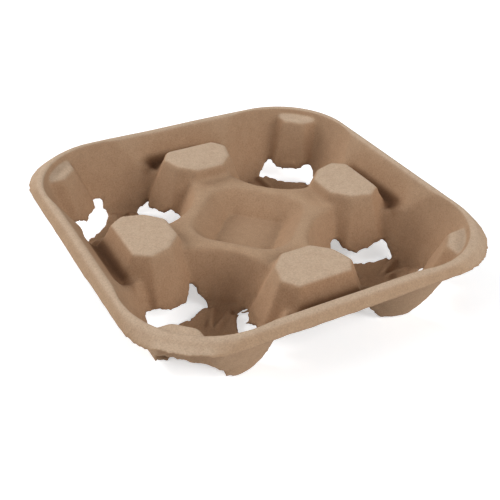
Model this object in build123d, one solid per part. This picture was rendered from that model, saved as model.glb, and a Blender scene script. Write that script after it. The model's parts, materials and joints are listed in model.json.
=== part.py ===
"""Moulded-pulp carrier for four cups: one pressed sheet of even thickness.

The sheet is what lies between two forms, its upper and its lower side. The same
functions make both: their skin is nothing on the upper side and one sheet's
thickness on the lower side. The origin lies under the middle of the tray, on the
surface that the feet stand on.
"""
import os
from math import atan2, cos, degrees, radians, tan

from build123d import *

# The whole tray, in millimetres and degrees
tray_side = 210.0            # across the lower edge of the skirt
tray_height = 44.0           # from the feet to the crest of the rim
sheet = 2.0                  # thickness of the pulp
overrun = 3.0                # how far every cut passes the face that it opens

# Rim: a crest with a short skirt outside and a sloping wall inside
skirt_drop = 6.5
skirt_draft = 33.0           # from upright
skirt_corner_radius = 42.0   # the skirt stands out further at the corners than along the sides
crest_width = 3.2
crest_bevel = 1.3
basin_draft = 38.7           # slope of the rim's inner wall along the sides, from upright
saddle_level = 29.5          # between the rim and the wells, beside a post
gutter_level = 23.5          # below the meeting of a post's tail and the rim's inner wall
gutter_length = 52.0         # at the level of the saddles
gutter_end_draft = 53.0      # slope of both ends of a gutter, from upright

# Cup wells: one round well in each quarter, closed by a floor
well_pitch = 106.0
well_mouth_radius = 45.4     # at the level of the crest
well_floor_radius = 28.0
finger_draft = 20.0          # lean of the posts and the corner ribs, from upright

# Posts: eight-sided pads between neighbouring wells. The distances run outwards from the line
# through the centres of both wells, and the gaps run along that line from either centre
post_level = 39.5
post_nose_distance = -5.0
post_nose_width = 17.0
post_shoulder_distance = 3.5
post_shoulder_gap = 35.5
post_waist_distance = 15.5
post_waist_gap = 32.0
post_tail_distance = 23.5
post_tail_gap = 37.5
post_round = 3.0             # top edges

# Corner ribs: the third finger of each well, measured from the well's centre
rib_face_distance = 34.5
rib_face_width = 13.0
rib_flare_distance = 41.0
rib_flare_width = 27.0
rib_bevel = 1.4              # top edges

# Middle of the tray: a land that ties the posts together, with a square pocket in it
land_level = 32.0
land_side = 130.0
pocket_floor_level = 19.5
pocket_floor_side = 33.0
pocket_draft = 45.0
pocket_corner_round = 3.0

# Torn holes under the fingers, measured from the well's centre and from the feet
hole_width = 33.0            # at the lower edge of the finger
hole_foot_width = 38.0       # at the feet
hole_span = 48.0             # the widest that a tear may run up the wall
hole_lip_distance = 16.5     # edge of the floor in the middle of a hole
hole_end_distance = 22.0     # edge of the floor at both ends of a hole
tip_level = 8.5              # lower edge of a finger
gutter_tear_bottom = 15.0
gutter_tear_top = 31.0
lip_rise = 2.5               # the floor turns up towards each hole
lip_run = 8.0
lip_width = 29.0

# Flutes that stiffen the three arms of a floor, with a groove between them
flute_width = 4.4            # where it leaves the floor
flute_height = 1.8
flute_start_radius = 9.0
flute_end_radius = 25.0
flute_turns = (-12, 12)      # about the middle of an arm

# Floor's torn edge: shares of half the hole, and of the way from the lip to the hole's ends
torn_lip_shares = (
    (-1.0, 1.0), (-0.68, 0.42), (-0.40, 0.16), (-0.14, 0.0), (0.16, 0.04), (0.44, 0.20),
    (0.70, 0.46), (1.0, 1.0),
)

# Torn lower edges of the fingers: shares of half the hole and of the tip's level
even_tear_shares = (
    (-1.0, 1.15), (-0.93, 1.62), (-0.84, 1.70), (-0.74, 1.28), (-0.52, 0.96), (-0.22, 1.04),
    (0.06, 0.90), (0.34, 1.02), (0.58, 0.94), (0.72, 1.22), (0.82, 1.52), (0.92, 1.46), (1.0, 1.05),
)
bowed_tear_shares = (
    (-1.05, 0.70), (-0.88, 1.34), (-0.70, 1.49), (-0.52, 1.26), (-0.30, 1.09), (-0.04, 1.05),
    (0.24, 0.98), (0.52, 1.14), (0.74, 1.36), (0.87, 1.49), (1.07, 0.70),
)
rising_tear_shares = (
    (-1.0, 1.0), (-0.80, 1.32), (-0.41, 1.16), (-0.26, 0.98), (-0.08, 0.94), (0.16, 0.80),
    (0.41, 0.84), (0.58, 1.06), (0.73, 1.19), (0.90, 1.64), (1.05, 1.72), (1.14, 0.60),
)
slit_tear_shares = (
    (-1.02, 0.90), (-0.94, 1.55), (-0.86, 1.78), (-0.72, 1.38), (-0.55, 1.20), (-0.47, 0.94),
    (-0.16, 0.88), (0.06, 0.98), (0.25, 0.96), (0.46, 1.22), (0.67, 1.40), (0.90, 1.30),
    (1.08, 1.36), (1.13, 0.50),
)
notched_tear_shares = (
    (-1.05, 0.80), (-0.93, 1.21), (-0.74, 1.36), (-0.56, 1.65), (-0.32, 1.20), (-0.05, 0.99),
    (0.26, 1.04), (0.58, 0.89), (0.74, 1.18), (0.88, 1.41), (1.0, 0.70),
)
wide_tear_shares = (
    (-1.15, 0.80), (-1.38, 1.71), (-1.12, 1.36), (-0.86, 1.52), (-0.60, 1.25), (-0.34, 1.28),
    (-0.10, 1.18), (0.22, 1.11), (0.40, 1.36), (0.58, 1.51), (0.80, 1.58), (1.0, 1.90),
    (1.29, 2.21), (1.20, 0.90),
)
low_tear_shares = (
    (-1.0, 1.05), (-0.90, 1.42), (-0.78, 1.50), (-0.56, 1.04), (-0.36, 1.10), (-0.16, 0.91),
    (0.24, 0.61), (0.46, 0.74), (0.70, 0.69), (1.0, 0.50),
)

# One gutter's torn end: shares of half the gutter's length and of half the tray's side
gutter_tear_shares = (
    (0.73, 0.77), (0.86, 0.833), (1.20, 0.848), (1.54, 0.838), (1.62, 0.79), (1.38, 0.752), (1.0, 0.748),
)

# From the +X +Y corner round the tray, the corner rib first in each well
tear_shares = (
    bowed_tear_shares, even_tear_shares, slit_tear_shares,
    wide_tear_shares, rising_tear_shares, notched_tear_shares,
    even_tear_shares, low_tear_shares, slit_tear_shares,
    bowed_tear_shares, rising_tear_shares, even_tear_shares,
)

# Worked out from the sizes above
quarter_turns = (0, 90, 180, 270)
finger_turns = (0, 120, 240)
arm_turns = (60, 180, 300)
well_draft = degrees(atan2(well_mouth_radius - well_floor_radius, tray_height - sheet))
skirt_level = tray_height - skirt_drop
crest_side = tray_side - 2 * skirt_drop * tan(radians(skirt_draft))
basin_mouth_side = crest_side - 2 * crest_width


def slope_shift(skin, lean):
    """Level distance between a leaning face and its copy one skin away."""
    return skin / cos(radians(lean))


def rise_shift(rise, lean):
    """Level distance that a leaning face gains over a rise."""
    return rise * tan(radians(lean))


def well_frames():
    """Places of the four wells, each with +X towards its corner of the tray."""
    centre = Pos(well_pitch / 2, well_pitch / 2, 0) * Rot(0, 0, 45)
    return [Rot(0, 0, turn) * centre for turn in quarter_turns]


def turned_frames(turns):
    """Places about the wells' centres, with +X turned from the tray's corner."""
    return [frame * Rot(0, 0, turn) for frame in well_frames() for turn in turns]


def rounded_square(side):
    """Square whose corners turn about the centres of the wells."""
    return RectangleRounded(side, side, (side - well_pitch) / 2)


def cover_outline(skin, level):
    """Section of the rim and the skirt at a level."""
    rise = level - skirt_level
    inset = slope_shift(skin, skirt_draft)
    side = tray_side - 2 * (rise_shift(rise, skirt_draft) + inset)
    crest_corner_radius = (crest_side - well_pitch) / 2
    gain = (crest_corner_radius - skirt_corner_radius) * rise / skirt_drop
    return Pos(0, 0, level) * RectangleRounded(side, side, skirt_corner_radius + gain - inset)


def cover(skin, low_level):
    """Solid under the rim and the skirt, from a low level up to the crest."""
    high_level = tray_height - skin
    return loft([cover_outline(skin, low_level), cover_outline(skin, high_level)], ruled=True)


def basin(skin, level):
    """Hollow inside the rim, down to a level."""
    depth = tray_height - level + skin
    shift = slope_shift(skin, basin_draft) - rise_shift(depth, basin_draft)
    outline = rounded_square(basin_mouth_side + 2 * shift)
    hollow = extrude(outline, depth + overrun, taper=-basin_draft)
    return Pos(0, 0, level - skin) * hollow


def gutters(skin):
    """Troughs that deepen the basin behind the posts, with sloping ends."""
    floor_level = gutter_level - skin
    half = gutter_length / 2 + slope_shift(skin, gutter_end_draft)
    floor_half = half - rise_shift(saddle_level - floor_level, gutter_end_draft)
    side = Polygon((half, saddle_level), (-half, saddle_level), (-floor_half, floor_level),
                   (floor_half, floor_level), align=None)
    bar = extrude(Plane.XZ * side, tray_side / 2, both=True)
    return basin(skin, gutter_level) & (bar + Rot(0, 0, 90) * bar)


def land(skin):
    """Raised floor of the basin, which ends inside the posts and over the wells."""
    side = land_side - 2 * skin
    under = (Align.CENTER, Align.CENTER, Align.MAX)
    return Pos(0, 0, land_level - skin) * Box(side, side, land_level, align=under)


def pocket(skin):
    """Square hollow in the middle, turned so that its corners point at the posts."""
    shift = slope_shift(skin, pocket_draft) - rise_shift(skin, pocket_draft)
    side = pocket_floor_side + 2 * shift
    outline = RectangleRounded(side, side, pocket_corner_round + shift)
    depth = land_level - pocket_floor_level + skin + overrun
    hollow = extrude(outline, depth, taper=-pocket_draft)
    return Pos(0, 0, pocket_floor_level - skin) * Rot(0, 0, 45) * hollow


def well(skin):
    """Hollow of one cup well, which narrows to its floor."""
    shift = slope_shift(skin, well_draft)
    floor_radius = well_floor_radius + shift - rise_shift(skin, well_draft)
    mouth_radius = well_mouth_radius + shift + rise_shift(overrun, well_draft)
    depth = tray_height - sheet + skin + overrun
    over = (Align.CENTER, Align.CENTER, Align.MIN)
    return Pos(0, 0, sheet - skin) * Cone(floor_radius, mouth_radius, depth, align=over)


def post_outline():
    """Top of the post on the +Y side."""
    centre = well_pitch / 2
    half = [
        (post_nose_width / 2, centre + post_nose_distance),
        (centre - post_shoulder_gap, centre + post_shoulder_distance),
        (centre - post_waist_gap, centre + post_waist_distance),
        (centre - post_tail_gap, centre + post_tail_distance),
    ]
    return Polygon(*half, *[(-x, y) for x, y in reversed(half)], align=None)


def rib_outline():
    """Top of a corner rib in its well's frame, buried in the rim at its far end."""
    far = well_mouth_radius + rib_face_width
    half = [
        (rib_face_distance, rib_face_width / 2),
        (rib_flare_distance, rib_flare_width / 2),
        (far, rib_flare_width / 2),
    ]
    return Polygon(*half, *[(x, -y) for x, y in reversed(half)], align=None)


def pad(outline, skin):
    """Raised block that widens downwards from the posts' level."""
    spread = rise_shift(post_level + overrun, finger_draft) - slope_shift(skin, finger_draft)
    foot = Pos(0, 0, -overrun) * offset(outline, amount=spread, kind=Kind.INTERSECTION)
    block = extrude(foot, post_level - skin + overrun, dir=(0, 0, 1))
    flanks = block.faces().filter_by(Axis.Z, reverse=True)
    return draft(flanks, Plane.XY.offset(-overrun), finger_draft)


def post(skin):
    """Post on the +Y side, with rounded top edges on the upper side."""
    block = pad(post_outline(), skin)
    return block if skin else fillet(block.edges().group_by(Axis.Z)[-1], post_round)


def rib(skin):
    """Corner rib in its well's frame, with bevelled top edges on the upper side."""
    block = pad(rib_outline(), skin)
    return block if skin else chamfer(block.edges().group_by(Axis.Z)[-1], rib_bevel)


def lip(skin):
    """Wedge that turns the floor up towards a hole, along +X."""
    floor = sheet - skin
    start = hole_lip_distance - lip_run
    end = hole_end_distance + lip_run
    end_level = floor + lip_rise / lip_run * (end - start)
    side = Polygon((start, floor - overrun), (start, floor), (end, end_level),
                   (end, floor - overrun), align=None)
    return extrude(Plane.XZ * side, lip_width / 2, both=True)


def bowl(skin):
    """Open space over the sheet, grown by the skin."""
    space = basin(skin, saddle_level) + gutters(skin) - land(skin) + pocket(skin)
    space += [frame * well(skin) for frame in well_frames()]
    space -= [Rot(0, 0, turn) * post(skin) for turn in quarter_turns]
    space -= [frame * rib(skin) for frame in well_frames()]
    return space - [frame * lip(skin) for frame in turned_frames(finger_turns)]


def flute():
    """Ridge along +X on a well's floor, rooted in the middle of the sheet."""
    root = sheet / 2
    top = sheet + flute_height
    half = flute_width / 2 * (top - root) / flute_height
    ridge = Polygon((-half, root), (0, top), (half, root), align=None)
    run = flute_end_radius - flute_start_radius
    return Pos(flute_start_radius, 0, 0) * extrude(Plane.YZ * ridge, run, dir=(1, 0, 0))


def hole(edge_shares):
    """Torn opening under a finger, through the floor and the finger's foot, along +X."""
    half = hole_width / 2
    foot_half = hole_foot_width / 2
    reach = well_mouth_radius
    depth = hole_end_distance - hole_lip_distance
    lip_edge = [(hole_lip_distance + share * depth, across * foot_half) for across, share in torn_lip_shares]
    side = [(hole_end_distance, hole_span / 2), (reach, hole_span / 2)]
    plan = Polygon(*lip_edge, *side, *[(x, -y) for x, y in reversed(side)], align=None)
    column = Pos(0, 0, -overrun) * extrude(plan, post_level, dir=(0, 0, 1))
    edge = [(across * half, up * tip_level) for across, up in edge_shares]
    torn = Polygon((-foot_half, -overrun), (-foot_half, 0), *edge, (foot_half, 0),
                   (foot_half, -overrun), align=None)
    return column & extrude(Plane.YZ * torn, reach, dir=(1, 0, 0))


def gutter_tear():
    """Torn end of the gutter on the -X side, where it runs out into the next well."""
    plan = Polygon(*[(x * gutter_length / 2, y * tray_side / 2) for x, y in gutter_tear_shares], align=None)
    tear = extrude(plan, gutter_tear_top - gutter_tear_bottom, dir=(0, 0, 1))
    return Rot(0, 0, 90) * Pos(0, 0, gutter_tear_bottom) * tear


def build_carrier():
    """The pressed sheet with its flutes and holes."""
    cap = cover(0, skirt_level)
    cap = chamfer(cap.edges().group_by(Axis.Z)[-1], crest_bevel)
    under = Pos(0, 0, -overrun) * extrude(rounded_square(tray_side), skirt_level + overrun)
    rim = cap - cover(sheet, skirt_level - overrun)
    body = rim + (bowl(sheet) & (cap + under)) - bowl(0)
    body += [frame * flute() for frame in turned_frames([arm + turn for arm in arm_turns
                                                         for turn in flute_turns])]
    fingers = turned_frames(finger_turns)
    return body - gutter_tear() - [frame * hole(shares) for frame, shares in zip(fingers, tear_shares)]


def main():
    os.makedirs("parts", exist_ok=True)
    export_step(build_carrier(), "parts/cup_carrier.step")


main()
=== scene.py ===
"""Looks of the moulded-pulp cup carrier: soft pressed edges, fibrous surface and a white studio.

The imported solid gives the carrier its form. This script gives that form the round edges and
the small unevenness of felted pulp, dresses it, and stands it in soft light.
"""

import json
import logging
import math
from dataclasses import dataclass
from enum import Enum

import bmesh
import bpy
from mathutils import Matrix, Vector, noise

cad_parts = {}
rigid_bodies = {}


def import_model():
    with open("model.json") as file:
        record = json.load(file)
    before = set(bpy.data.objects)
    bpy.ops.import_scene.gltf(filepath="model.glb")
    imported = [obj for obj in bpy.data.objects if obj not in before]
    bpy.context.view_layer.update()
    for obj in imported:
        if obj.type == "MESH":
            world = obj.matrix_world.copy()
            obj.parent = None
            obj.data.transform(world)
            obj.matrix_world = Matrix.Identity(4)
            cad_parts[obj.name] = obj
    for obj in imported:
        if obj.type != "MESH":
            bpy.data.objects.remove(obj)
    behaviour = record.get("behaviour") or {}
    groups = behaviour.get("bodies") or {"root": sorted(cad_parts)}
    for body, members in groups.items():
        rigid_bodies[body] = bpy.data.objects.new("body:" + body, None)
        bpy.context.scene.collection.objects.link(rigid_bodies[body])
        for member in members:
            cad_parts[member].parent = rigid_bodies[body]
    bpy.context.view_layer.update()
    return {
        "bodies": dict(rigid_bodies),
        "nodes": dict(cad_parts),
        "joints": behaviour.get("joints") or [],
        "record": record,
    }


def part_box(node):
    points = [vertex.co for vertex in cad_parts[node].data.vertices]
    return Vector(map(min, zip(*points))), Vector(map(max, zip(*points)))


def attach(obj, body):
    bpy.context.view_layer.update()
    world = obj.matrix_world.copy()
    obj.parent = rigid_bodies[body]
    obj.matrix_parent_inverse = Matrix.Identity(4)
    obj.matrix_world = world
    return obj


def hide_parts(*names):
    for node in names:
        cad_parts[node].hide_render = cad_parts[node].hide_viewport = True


log = logging.getLogger("cup_carrier")

MM = 0.001
SLOT_ATTRIBUTE = "slot_depth"
WELL_PITCH_MM = 106.0
CORNER_DEGREES = 45.0
WHITE = (1.0, 1.0, 1.0, 1.0)

# Numbers of the Mix node's colour sockets, as it has several sockets of each name
COLOUR_A = 6
COLOUR_B = 7
COLOUR_OUT = 2

# Start and end of a gradual change, and shares of red, green and blue
Band = tuple[float, float]
Shares = tuple[float, float, float]


def linear(hex_colour: str) -> tuple[float, float, float, float]:
    """Turns an sRGB hex colour into linear RGBA.

    Args:
        hex_colour: Six hex digits after a hash sign.

    Returns:
        The linear colour with an alpha of 1.
    """
    channels = [int(hex_colour[i:i + 2], 16) / 255 for i in (1, 3, 5)]
    red, green, blue = (c / 12.92 if c <= 0.04045 else ((c + 0.055) / 1.055) ** 2.4 for c in channels)
    return red, green, blue, 1.0


def add_node(tree: bpy.types.NodeTree, kind: str, inputs: dict | None = None,
             **settings: object) -> bpy.types.Node:
    """Adds a node with its settings, socket values and links.

    Args:
        tree: The node tree that gets the node.
        kind: Blender's name for the kind of node.
        inputs: Socket names or numbers, each with a value or with an output socket to link.
        settings: Properties of the node.

    Returns:
        The new node.
    """
    node = tree.nodes.new(kind)
    for name, value in settings.items():
        setattr(node, name, value)
    for name, value in (inputs or {}).items():
        if isinstance(value, bpy.types.NodeSocket):
            tree.links.new(value, node.inputs[name])
        else:
            node.inputs[name].default_value = value
    return node


def empty_material(name: str) -> bpy.types.Material:
    """Makes a material with an empty node tree.

    Args:
        name: The material's name.

    Returns:
        The material.
    """
    material = bpy.data.materials.new(name)
    material.use_nodes = True
    material.node_tree.nodes.clear()
    return material


def rise(x: float, band: Band) -> float:
    """Rises smoothly from 0 at the start of a band to 1 at its end.

    Args:
        x: The value to place.
        band: Where the rise starts and ends.

    Returns:
        A share from 0 to 1.
    """
    start, end = band
    t = min(max((x - start) / (end - start), 0.0), 1.0)
    return t * t * (3 - 2 * t)


def fall(x: float, band: Band) -> float:
    """Falls smoothly from 1 at the start of a band to 0 at its end."""
    return 1 - rise(x, band)


def from_middle(at: Vector) -> tuple[float, float]:
    """Measures how far a place lies outwards from the tray's middle, and how far aside."""
    return max(abs(at.x), abs(at.y)), min(abs(at.x), abs(at.y))


def from_well(at: Vector) -> tuple[float, float]:
    """Measures a place from the centre of its quarter's well, both ways towards the rim."""
    return abs(at.x) - WELL_PITCH_MM / 2, abs(at.y) - WELL_PITCH_MM / 2


def in_well(at: Vector, degrees: float) -> tuple[float, float]:
    """Places a point in its quarter's well, along a direction turned from the tray's corner.

    Args:
        at: The place, in millimetres.
        degrees: Turn of the direction, from the corner's.

    Returns:
        How far the place lies ahead of the well's centre and how far aside.
    """
    east, north = from_well(at)
    turn = math.radians(CORNER_DEGREES + degrees)
    ahead = east * math.cos(turn) + north * math.sin(turn)
    aside = abs(north * math.cos(turn) - east * math.sin(turn))
    return ahead, aside


class Zone(Enum):
    """Zones of the tray, each with how often its edges are smoothed."""

    FLOOR = 1
    HEEL = 10
    WALL = 2
    RIDGE = 5
    CREST = 3


class Grain(Enum):
    """Patterns in the pulp: size in millimetres, detail, roughness and distortion.

    The speckle, the fibres and the grit are drawn coarser than in real pulp, where they would
    be too fine to show.
    """

    CLOUD = (5.0, 4.0, 0.62, 0.0)
    SPECKLE = (0.8, 2.0, 0.7, 0.0)
    FIBRE = (1.6, 3.0, 0.6, 0.8)
    GRIT = (0.7, 2.0, 0.5, 0.0)


@dataclass(frozen=True)
class PulpFinish:
    """Moulded pulp from brown paper, pressed wet on a mesh: matt, felted and a little uneven."""

    name: str = "moulded_brown_pulp"
    roughness: float = 0.94
    specular: float = 0.18

    # Cloudy colour with sparse flecks, and the band that noise mostly keeps to
    pale: str = "#C2AA92"
    deep: str = "#BAA189"
    fleck: str = "#9C8268"
    fleck_mm: float = 3.2
    fleck_edge: Band = (0.06, 0.13)
    fleck_share: float = 0.45
    noise_band: Band = (0.3, 0.7)

    # Painted shade: darker in the recesses, on the sides and in the slots behind the posts, where
    # shade falls
    recess_shade_share: Shares = (0.69, 0.565, 0.465)
    side_shade_share: Shares = (0.80, 0.72, 0.64)
    slot_shade_share: Shares = (0.5, 0.42, 0.36)
    recess_mm: float = 50.0
    recess_power: float = 5.0
    occlusion_samples: int = 8

    # Upper faces that are left out of the painted shade and keep the full colour: how high and how
    # level they are
    lit_top_mm: Band = (33.0, 38.5)
    lit_top_slope: Band = (0.58, 0.92)

    # Lightness: fine speckle, and painted shade in the creases
    speckle_depth: float = 0.13
    crevice_mm: float = 8.0
    crevice_open: Band = (0.3, 0.95)
    crevice_shade_share: float = 0.75

    # Felted relief
    bump_mm: float = 0.16
    bump_strength: float = 0.6

    def colour(self, tree: bpy.types.NodeTree, place: bpy.types.NodeSocket,
               cloud: bpy.types.NodeSocket) -> bpy.types.NodeSocket:
        """Adds the pulp's cloudy colour and its flecks.

        Args:
            tree: The material's node tree.
            place: Object coordinates.
            cloud: The cloudy pattern.

        Returns:
            The colour's socket.
        """
        tint = add_node(tree, "ShaderNodeMapRange", {
            "Value": cloud, "From Min": self.noise_band[0], "From Max": self.noise_band[1]})
        body = add_node(tree, "ShaderNodeMix", {
            "Factor": tint.outputs["Result"],
            COLOUR_A: linear(self.deep), COLOUR_B: linear(self.pale)}, data_type="RGBA")
        speck = add_node(tree, "ShaderNodeTexVoronoi", {
            "Vector": place, "Scale": 1 / (self.fleck_mm * MM), "Randomness": 1.0})
        spot = add_node(tree, "ShaderNodeMapRange", {
            "Value": speck.outputs["Distance"],
            "From Min": self.fleck_edge[0], "From Max": self.fleck_edge[1],
            "To Min": self.fleck_share, "To Max": 0.0})
        flecked = add_node(tree, "ShaderNodeMix", {
            "Factor": spot.outputs["Result"],
            COLOUR_A: body.outputs[COLOUR_OUT], COLOUR_B: linear(self.fleck)}, data_type="RGBA")
        return flecked.outputs[COLOUR_OUT]

    def painted_shade(self, tree: bpy.types.NodeTree, place: bpy.types.NodeSocket) -> bpy.types.NodeSocket:
        """Adds painted shade by place: deep in the recesses, lighter on the sides, none on high and
        level faces.

        Args:
            tree: The material's node tree.
            place: Object coordinates.

        Returns:
            The socket of a colour to multiply by.
        """
        # Painted shade: occlusion darkens the recesses, the open sides get a lighter shade, high
        # level faces keep the full colour
        open_air = add_node(tree, "ShaderNodeAmbientOcclusion", {
            "Distance": self.recess_mm * MM}, only_local=True, samples=self.occlusion_samples)
        openness = add_node(tree, "ShaderNodeMath", {
            0: open_air.outputs["AO"], 1: self.recess_power}, operation="POWER")
        recess_and_side_shade = add_node(tree, "ShaderNodeMix", {
            "Factor": openness.outputs[0],
            COLOUR_A: (*self.recess_shade_share, 1.0), COLOUR_B: (*self.side_shade_share, 1.0)}, data_type="RGBA")
        height = add_node(tree, "ShaderNodeSeparateXYZ", {0: place}).outputs["Z"]
        facing = add_node(tree, "ShaderNodeNewGeometry").outputs["Normal"]
        slope = add_node(tree, "ShaderNodeSeparateXYZ", {0: facing}).outputs["Z"]
        high = add_node(tree, "ShaderNodeMapRange", {
            "Value": height, "From Min": self.lit_top_mm[0] * MM, "From Max": self.lit_top_mm[1] * MM},
            interpolation_type="SMOOTHSTEP")
        level = add_node(tree, "ShaderNodeMapRange", {
            "Value": slope, "From Min": self.lit_top_slope[0], "From Max": self.lit_top_slope[1]},
            interpolation_type="SMOOTHSTEP")
        lit_top = add_node(tree, "ShaderNodeMath", {
            0: high.outputs["Result"], 1: level.outputs["Result"]}, operation="MULTIPLY")
        painted_shade = add_node(tree, "ShaderNodeMix", {
            "Factor": lit_top.outputs[0],
            COLOUR_A: recess_and_side_shade.outputs[COLOUR_OUT], COLOUR_B: WHITE}, data_type="RGBA")
        return painted_shade.outputs[COLOUR_OUT]

    def lightness(self, tree: bpy.types.NodeTree,
                  speckle: bpy.types.NodeSocket) -> bpy.types.NodeSocket:
        """Adds the fine speckle and the painted shade in the creases.

        Args:
            tree: The material's node tree.
            speckle: The speckled pattern.

        Returns:
            The socket of a factor to multiply by.
        """
        speckled = add_node(tree, "ShaderNodeMapRange", {
            "Value": speckle, "From Min": self.noise_band[0], "From Max": self.noise_band[1],
            "To Min": 1 - self.speckle_depth, "To Max": 1 + self.speckle_depth})
        # Painted shade in the narrow creases, from occlusion over a short distance
        crevice = add_node(tree, "ShaderNodeAmbientOcclusion", {
            "Distance": self.crevice_mm * MM}, only_local=True, samples=self.occlusion_samples)
        crevice_shade = add_node(tree, "ShaderNodeMapRange", {
            "Value": crevice.outputs["AO"],
            "From Min": self.crevice_open[0], "From Max": self.crevice_open[1],
            "To Min": self.crevice_shade_share, "To Max": 1.0})
        both = add_node(tree, "ShaderNodeMath", {
            0: speckled.outputs["Result"], 1: crevice_shade.outputs["Result"]}, operation="MULTIPLY")
        return both.outputs[0]

    def material(self) -> bpy.types.Material:
        """Builds the pulp's material: its colour, its painted shade by place and in the slots, and
        its felted grain.

        Returns:
            The material.
        """
        material = empty_material(self.name)
        tree = material.node_tree
        place = add_node(tree, "ShaderNodeTexCoord").outputs["Object"]
        pattern = {}
        for grain in Grain:
            size_mm, detail, roughness, distortion = grain.value
            pattern[grain] = add_node(tree, "ShaderNodeTexNoise", {
                "Vector": place, "Scale": 1 / (size_mm * MM), "Detail": detail,
                "Roughness": roughness, "Distortion": distortion}).outputs["Fac"]
        shaded = add_node(tree, "ShaderNodeMix", {
            "Factor": 1.0, COLOUR_A: self.colour(tree, place, pattern[Grain.CLOUD]),
            COLOUR_B: self.painted_shade(tree, place)}, data_type="RGBA", blend_type="MULTIPLY")
        # Painted shade in the slots behind the posts, by the stored slot depth
        slot = add_node(tree, "ShaderNodeAttribute", attribute_name=SLOT_ATTRIBUTE)
        slot_shaded = add_node(tree, "ShaderNodeMix", {
            "Factor": slot.outputs["Fac"], COLOUR_A: shaded.outputs[COLOUR_OUT],
            COLOUR_B: (*self.slot_shade_share, 1.0)}, data_type="RGBA", blend_type="MULTIPLY")
        grained_and_shaded = add_node(tree, "ShaderNodeVectorMath", {
            0: slot_shaded.outputs[COLOUR_OUT],
            "Scale": self.lightness(tree, pattern[Grain.SPECKLE])}, operation="SCALE")
        felt = add_node(tree, "ShaderNodeMath", {
            0: pattern[Grain.FIBRE], 1: pattern[Grain.GRIT]}, operation="ADD")
        bump = add_node(tree, "ShaderNodeBump", {
            "Height": felt.outputs[0], "Strength": self.bump_strength, "Distance": self.bump_mm * MM})
        shader = add_node(tree, "ShaderNodeBsdfPrincipled", {
            "Base Color": grained_and_shaded.outputs["Vector"], "Normal": bump.outputs["Normal"],
            "Roughness": self.roughness, "Specular IOR Level": self.specular, "Metallic": 0.0})
        add_node(tree, "ShaderNodeOutputMaterial", {"Surface": shader.outputs["BSDF"]})
        return material


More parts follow.
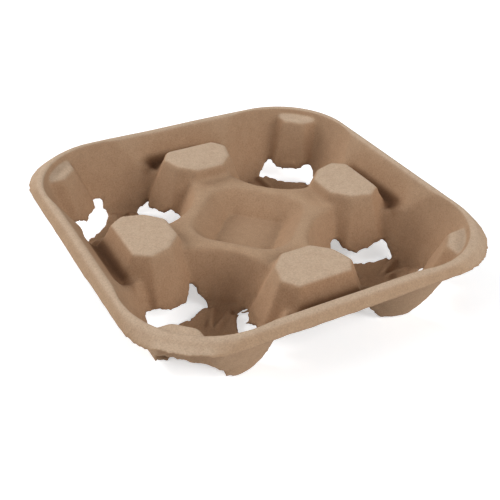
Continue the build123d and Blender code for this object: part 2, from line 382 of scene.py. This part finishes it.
@dataclass(frozen=True)
class SheetRelief:
    """Small forms of the pressed sheet; each band is where one of them fades in or out."""

    # Walls that waver, above feet that stay flat
    waver_mm: float = 0.35
    waver_length_mm: float = 38.0
    foot_mm: Band = (0.5, 6.0)

    # Ragged lower edge of the skirt
    ragged_mm: float = 0.5
    ragged_length_mm: float = 7.0
    skirt_level_mm: float = 37.5
    skirt_edge_mm: Band = (0.6, 2.5)
    skirt_out_mm: Band = (98.0, 101.0)

    # Frayed tears under the fingers
    tear_mm: float = 0.7
    tear_length_mm: float = 3.4
    finger_degrees: tuple[float, ...] = (0.0, 120.0, 240.0)
    tear_ahead_mm: Band = (11.0, 17.0)
    tear_aside_mm: Band = (20.0, 25.0)
    tear_top_mm: Band = (13.0, 17.0)

    # Flutes on the floors of the wells
    flute_rise_mm: float = 1.4
    flute_degrees: tuple[float, ...] = (48.0, 72.0, 168.0, 192.0, 288.0, 312.0)
    flute_start_mm: Band = (6.0, 10.0)
    flute_end_mm: Band = (23.0, 27.0)
    flute_aside_mm: Band = (0.6, 2.6)
    floor_top_mm: float = 8.0

    # Gutters behind the posts, with a steeper outer wall
    gutter_shift_mm: float = 2.4
    gutter_aside_mm: Band = (20.0, 30.0)
    gutter_wall_mm: Band = (77.0, 81.0)
    gutter_top_mm: Band = (26.0, 41.5)

    # Slots in the bottom of the gutters
    slot_aside_mm: Band = (21.0, 32.0)
    slot_inner_mm: Band = (79.0, 82.0)
    slot_outer_mm: Band = (90.0, 93.0)
    slot_top_mm: Band = (29.0, 33.0)

    # Skirt's lower edge that runs higher at the front corner
    nick_rise_mm: float = 2.0
    nick_at_mm: tuple[float, float] = (-88.0, -95.0)
    nick_away_mm: Band = (9.0, 17.0)
    nick_out_mm: Band = (49.0, 51.0)
    nick_bottom_mm: Band = (35.5, 36.5)
    nick_top_mm: Band = (37.5, 42.0)

    def ragged_share(self, at: Vector) -> float:
        """Tells how far a place belongs to the skirt's lower edge, as a share from 0 to 1."""
        edge = fall(abs(at.z - self.skirt_level_mm), self.skirt_edge_mm)
        return edge * rise(from_middle(at)[0], self.skirt_out_mm)

    def torn_share(self, at: Vector) -> float:
        """Tells how far a place belongs to the torn surroundings of a hole.

        Args:
            at: The place, in millimetres.

        Returns:
            A share from 0 to 1.
        """
        share = 0.0
        for degrees in self.finger_degrees:
            ahead, aside = in_well(at, degrees)
            share = max(share, rise(ahead, self.tear_ahead_mm) * fall(aside, self.tear_aside_mm))
        return share * fall(at.z, self.tear_top_mm)

    def flute_share(self, at: Vector) -> float:
        """Tells how far a place of a well's floor belongs to a flute.

        Args:
            at: The place, in millimetres.

        Returns:
            A share from 0 to 1.
        """
        if at.z > self.floor_top_mm:
            return 0.0
        share = 0.0
        for degrees in self.flute_degrees:
            ahead, aside = in_well(at, degrees)
            length = rise(ahead, self.flute_start_mm) * fall(ahead, self.flute_end_mm)
            share = max(share, length * fall(aside, self.flute_aside_mm))
        return share

    def gutter_share(self, at: Vector) -> float:
        """Tells how far a place belongs to the foot of the wall behind a post.

        Args:
            at: The place, in millimetres.

        Returns:
            A share from 0 to 1.
        """
        away, aside = from_middle(at)
        wall = fall(aside, self.gutter_aside_mm) * rise(away, self.gutter_wall_mm)
        return wall * fall(at.z, self.gutter_top_mm)

    def slot_depth(self, at: Vector) -> float:
        """Tells how deep a place lies in the narrow slot behind a post.

        Args:
            at: The place, in millimetres.

        Returns:
            A share from 0 to 1.
        """
        away, aside = from_middle(at)
        across = rise(away, self.slot_inner_mm) * fall(away, self.slot_outer_mm)
        return fall(aside, self.slot_aside_mm) * across * fall(at.z, self.slot_top_mm)

    def nick_share(self, at: Vector) -> float:
        """Tells how far a place belongs to the skirt's higher lower edge at the front corner.

        Args:
            at: The place, in millimetres.

        Returns:
            A share from 0 to 1.
        """
        away = math.hypot(at.x - self.nick_at_mm[0], at.y - self.nick_at_mm[1])
        outside = rise(math.hypot(*from_well(at)), self.nick_out_mm)
        height = rise(at.z, self.nick_bottom_mm) * fall(at.z, self.nick_top_mm)
        return outside * height * fall(away, self.nick_away_mm)

    def shift(self, at: Vector) -> Vector:
        """Works out how far the small forms move a place of the softened sheet.

        Args:
            at: The place, in millimetres.

        Returns:
            The move, in millimetres.
        """
        waver = noise.noise_vector(at / self.waver_length_mm) * self.waver_mm
        fray = noise.noise_vector(at / self.tear_length_mm) * self.tear_mm
        ragged = noise.noise(at / self.ragged_length_mm) * self.ragged_mm
        outward = Vector((at.x, 0, 0)) if abs(at.x) > abs(at.y) else Vector((0, at.y, 0))
        move = waver * rise(at.z, self.foot_mm) + fray * self.torn_share(at)
        move += outward.normalized() * self.gutter_shift_mm * self.gutter_share(at)
        move.z += ragged * self.ragged_share(at)
        move.z += self.flute_rise_mm * self.flute_share(at)
        move.z += self.nick_rise_mm * self.nick_share(at)
        return move


@dataclass(frozen=True)
class PressedSheet:
    """The one piece of the carrier: the pressed pulp sheet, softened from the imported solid."""

    node: str = "cup_carrier"
    slot: str = "moulded_pulp"
    relief: SheetRelief = SheetRelief()
    noise_seed: int = 1
    merge_mm: float = 0.002
    grid_mm: float = 1.4
    smoothing: float = 0.5

    # Bounds of the zones that are smoothed
    heel_mm: float = 25.0
    heel_top_mm: float = 5.0
    ridge_mm: tuple[float, float] = (26.0, 34.0)
    land_half_mm: float = 47.0
    rim_half_mm: float = 81.0
    crest_mm: float = 36.0

    def zone(self, at: Vector) -> Zone:
        """Tells which zone of the tray a place lies in.

        Args:
            at: The place, in millimetres.

        Returns:
            The zone.
        """
        away, _ = from_middle(at)
        if at.z < self.relief.floor_top_mm:
            at_heel = math.hypot(*from_well(at)) > self.heel_mm and at.z < self.heel_top_mm
            return Zone.HEEL if at_heel else Zone.FLOOR
        if at.z > self.crest_mm and away > self.rim_half_mm:
            return Zone.CREST
        low, high = self.ridge_mm
        open_land = away < self.land_half_mm or away > self.rim_half_mm
        return Zone.RIDGE if low < at.z < high and open_land else Zone.WALL

    def solid_copy(self, frame: dict) -> bpy.types.Object:
        """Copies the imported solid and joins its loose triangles.


        Returns:
            The copy, linked to the scene.
        """
        work = bmesh.new()
        work.from_mesh(frame["nodes"][self.node].data)
        bmesh.ops.remove_doubles(work, verts=work.verts, dist=self.merge_mm * MM)
        mesh = bpy.data.meshes.new("pulp_sheet")
        work.to_mesh(mesh)
        work.free()
        piece = bpy.data.objects.new("pulp_sheet", mesh)
        bpy.context.scene.collection.objects.link(piece)
        return piece

    def even_grid(self, piece: bpy.types.Object) -> None:
        """Gives the sheet an even grid of small faces.

        Args:
            piece: The copied sheet, whose mesh is replaced.
        """
        remesh = piece.modifiers.new("even_grid", "REMESH")
        remesh.mode = "VOXEL"
        remesh.voxel_size = self.grid_mm * MM
        remesh.use_smooth_shade = True
        graph = bpy.context.evaluated_depsgraph_get()
        mesh = bpy.data.meshes.new_from_object(piece.evaluated_get(graph))
        piece.modifiers.clear()
        piece.data = mesh

    def soften(self, work: bmesh.types.BMesh) -> None:
        """Rounds the sheet's edges, as often as each zone asks for.

        Args:
            work: The sheet's mesh.
        """
        rounds = {v: self.zone(v.co / MM).value for v in work.verts}
        for done in range(max(rounds.values())):
            verts = [v for v, wanted in rounds.items() if wanted > done]
            bmesh.ops.smooth_vert(work, verts=verts, factor=self.smoothing,
                                  use_axis_x=True, use_axis_y=True, use_axis_z=True)

    def roughen(self, work: bmesh.types.BMesh, low: Vector, high: Vector) -> None:
        """Gives the softened sheet its small forms and keeps it inside the solid's box.

        Args:
            work: The sheet's mesh.
            low: Lowest corner of the box.
            high: Highest corner of the box.
        """
        # Without a seed, the noise would take new offsets from the clock in every run
        noise.seed_set(self.noise_seed)
        for v in work.verts:
            moved = v.co + self.relief.shift(v.co / MM) * MM
            v.co = Vector(min(max(c, a), b) for c, a, b in zip(moved, low, high))

    def mark_slots(self, piece: bpy.types.Object) -> None:
        """Stores how deep each vertex of the finished sheet lies in a slot behind a post, for the
        painted shade there.
        """
        depths = [self.relief.slot_depth(v.co / MM) for v in piece.data.vertices]
        piece.data.attributes.new(SLOT_ATTRIBUTE, "FLOAT", "POINT").data.foreach_set("value", depths)

    def build(self, frame: dict, finish: PulpFinish) -> bpy.types.Object:
        """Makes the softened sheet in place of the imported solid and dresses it.

        Args:
            finish: The pulp's finish.

        Returns:
            The finished piece.
        """
        low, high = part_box(self.node)
        piece = self.solid_copy(frame)
        self.even_grid(piece)
        work = bmesh.new()
        work.from_mesh(piece.data)
        self.soften(work)
        self.roughen(work, low, high)
        for face in work.faces:
            face.smooth = True
        work.to_mesh(piece.data)
        work.free()
        self.mark_slots(piece)
        piece.data.materials.clear()
        piece.data.materials.append(finish.material())
        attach(piece, "root")
        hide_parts(self.node)
        return piece


@dataclass(frozen=True)
class PhotoCamera:
    """Camera fitted to the photograph, in pixels, radians and millimetres from the tray's skirt."""

    image_px: float = 500.0
    focal_px: float = 822.58
    yaw: float = 0.5357
    pitch: float = 0.6059
    roll: float = -0.0384
    offset_mm: tuple[float, float, float] = (-0.2013, -24.0843, 459.41)
    datum_mm: float = 37.5
    sensor_mm: float = 36.0
    clip_mm: float = 10.0

    def build(self) -> bpy.types.Object:
        """Makes the camera and sets it as the scene's own.

        Returns:
            The camera.
        """
        forward = Vector((math.sin(self.yaw) * math.cos(self.pitch),
                          math.cos(self.yaw) * math.cos(self.pitch), -math.sin(self.pitch)))
        level = Vector((math.cos(self.yaw), -math.sin(self.yaw), 0.0))
        steep = forward.cross(level)
        right = math.cos(self.roll) * level + math.sin(self.roll) * steep
        down = -math.sin(self.roll) * level + math.cos(self.roll) * steep
        across, under, ahead = self.offset_mm
        place = -(right * across + down * under + forward * ahead) + Vector((0, 0, self.datum_mm))
        turn = Matrix((right, -down, -forward)).transposed().to_4x4()
        lens = bpy.data.cameras.new("photo_camera")
        lens.sensor_width = self.sensor_mm
        lens.lens = self.sensor_mm * self.focal_px / self.image_px
        lens.clip_start = self.clip_mm * MM
        camera = bpy.data.objects.new("photo_camera", lens)
        camera.matrix_world = Matrix.Translation(place * MM) @ turn
        bpy.context.scene.collection.objects.link(camera)
        bpy.context.scene.camera = camera
        return camera


class Lamp(Enum):
    """Large soft lamps: degrees round the tray, degrees above the floor, and watts."""

    BACK_LEFT = (119.0, 30.0, 25.5)
    LEFT = (175.0, 33.0, 15.5)
    RIGHT = (300.0, 32.0, 30.5)
    TOP = (239.0, 89.0, 2.5)


@dataclass(frozen=True)
class Studio:
    """White floor in a faint even surround, with large soft lamps on both sides and above."""

    floor_m: float = 6.0
    floor_colour: str = "#F1F3F5"
    lift: float = 0.5
    lift_far: float = 1.0
    lift_m: Band = (0.25, 0.8)
    surround: float = 0.03
    lamp_m: float = 1.2
    lamp_away_m: float = 2.0

    def camera_share(self, tree: bpy.types.NodeTree) -> bpy.types.NodeSocket:
        """Is 1 for rays that show the background: straight, mirrored or through.

        Args:
            tree: The tree that gets the nodes.

        Returns:
            The output socket.
        """
        path = add_node(tree, "ShaderNodeLightPath").outputs
        seen = add_node(tree, "ShaderNodeMath", {
            0: path["Is Camera Ray"], 1: path["Is Glossy Ray"]}, operation="MAXIMUM")
        return add_node(tree, "ShaderNodeMath", {
            0: seen.outputs[0], 1: path["Is Transmission Ray"]}, operation="MAXIMUM").outputs[0]

    def floor_material(self) -> bpy.types.Material:
        """Makes matt white card that keeps shadows and looks white to the camera.

        Returns:
            The material.
        """
        material = empty_material("white_card")
        tree = material.node_tree
        card = add_node(tree, "ShaderNodeBsdfDiffuse", {"Color": linear(self.floor_colour)})
        place = add_node(tree, "ShaderNodeTexCoord").outputs["Object"]
        away = add_node(tree, "ShaderNodeVectorMath", {0: place}, operation="LENGTH").outputs["Value"]
        level = add_node(tree, "ShaderNodeMapRange", {
            "Value": away, "From Min": self.lift_m[0], "From Max": self.lift_m[1],
            "To Min": self.lift, "To Max": self.lift_far})
        lift = add_node(tree, "ShaderNodeMath", {
            0: self.camera_share(tree), 1: level.outputs["Result"]}, operation="MULTIPLY")
        glow = add_node(tree, "ShaderNodeEmission", {"Strength": lift.outputs[0]})
        both = add_node(tree, "ShaderNodeAddShader", {0: card.outputs[0], 1: glow.outputs[0]})
        add_node(tree, "ShaderNodeOutputMaterial", {"Surface": both.outputs[0]})
        return material

    def build_floor(self) -> bpy.types.Object:
        """Makes the floor under the feet.

        Returns:
            The floor.
        """
        work = bmesh.new()
        bmesh.ops.create_grid(work, x_segments=1, y_segments=1, size=self.floor_m / 2)
        mesh = bpy.data.meshes.new("floor")
        work.to_mesh(mesh)
        work.free()
        mesh.materials.append(self.floor_material())
        floor = bpy.data.objects.new("floor", mesh)
        bpy.context.scene.collection.objects.link(floor)
        return floor

    def build_surround(self) -> bpy.types.World:
        """Makes the even surround, which is plain white to the camera.

        Returns:
            The world.
        """
        world = bpy.data.worlds.new("white_surround")
        world.use_nodes = True
        tree = world.node_tree
        tree.nodes.clear()
        level = add_node(tree, "ShaderNodeMapRange", {
            "Value": self.camera_share(tree), "To Min": self.surround, "To Max": 1.0})
        sky = add_node(tree, "ShaderNodeBackground", {
            "Color": WHITE, "Strength": level.outputs["Result"]})
        add_node(tree, "ShaderNodeOutputWorld", {"Surface": sky.outputs[0]})
        bpy.context.scene.world = world
        return world

    def build_lamp(self, kind: Lamp) -> bpy.types.Object:
        """Makes one large soft lamp, turned to the tray.

        Args:
            kind: The lamp's place and power.

        Returns:
            The lamp.
        """
        turn, lift, watts = kind.value
        around, above = math.radians(turn), math.radians(lift)
        light = bpy.data.lights.new(f"{kind.name.lower()}_lamp", "AREA")
        light.energy = watts
        light.shape = "DISK"
        light.size = self.lamp_m
        lamp = bpy.data.objects.new(light.name, light)
        place = Vector((math.cos(around) * math.cos(above), math.sin(around) * math.cos(above),
                        math.sin(above))) * self.lamp_away_m
        aim = (-place).to_track_quat("-Z", "Y").to_matrix().to_4x4()
        lamp.matrix_world = Matrix.Translation(place) @ aim
        bpy.context.scene.collection.objects.link(lamp)
        return lamp


def main() -> None:
    """Builds the carrier and its studio in order."""
    logging.basicConfig(level=logging.INFO, format="%(message)s")
    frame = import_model()
    sheet = PressedSheet().build(frame, PulpFinish())
    sheet.data.calc_loop_triangles()
    log.info("pulp sheet: %d triangles", len(sheet.data.loop_triangles))
    camera = PhotoCamera().build()
    log.info("camera: lens %.1f mm", camera.data.lens)
    studio = Studio()
    for part in (studio.build_floor(), studio.build_surround(),
                 *(studio.build_lamp(kind) for kind in Lamp)):
        log.info("studio: %s", part.name)
    bpy.context.scene.view_settings.view_transform = "Standard"


if __name__ == "__main__":
    main()
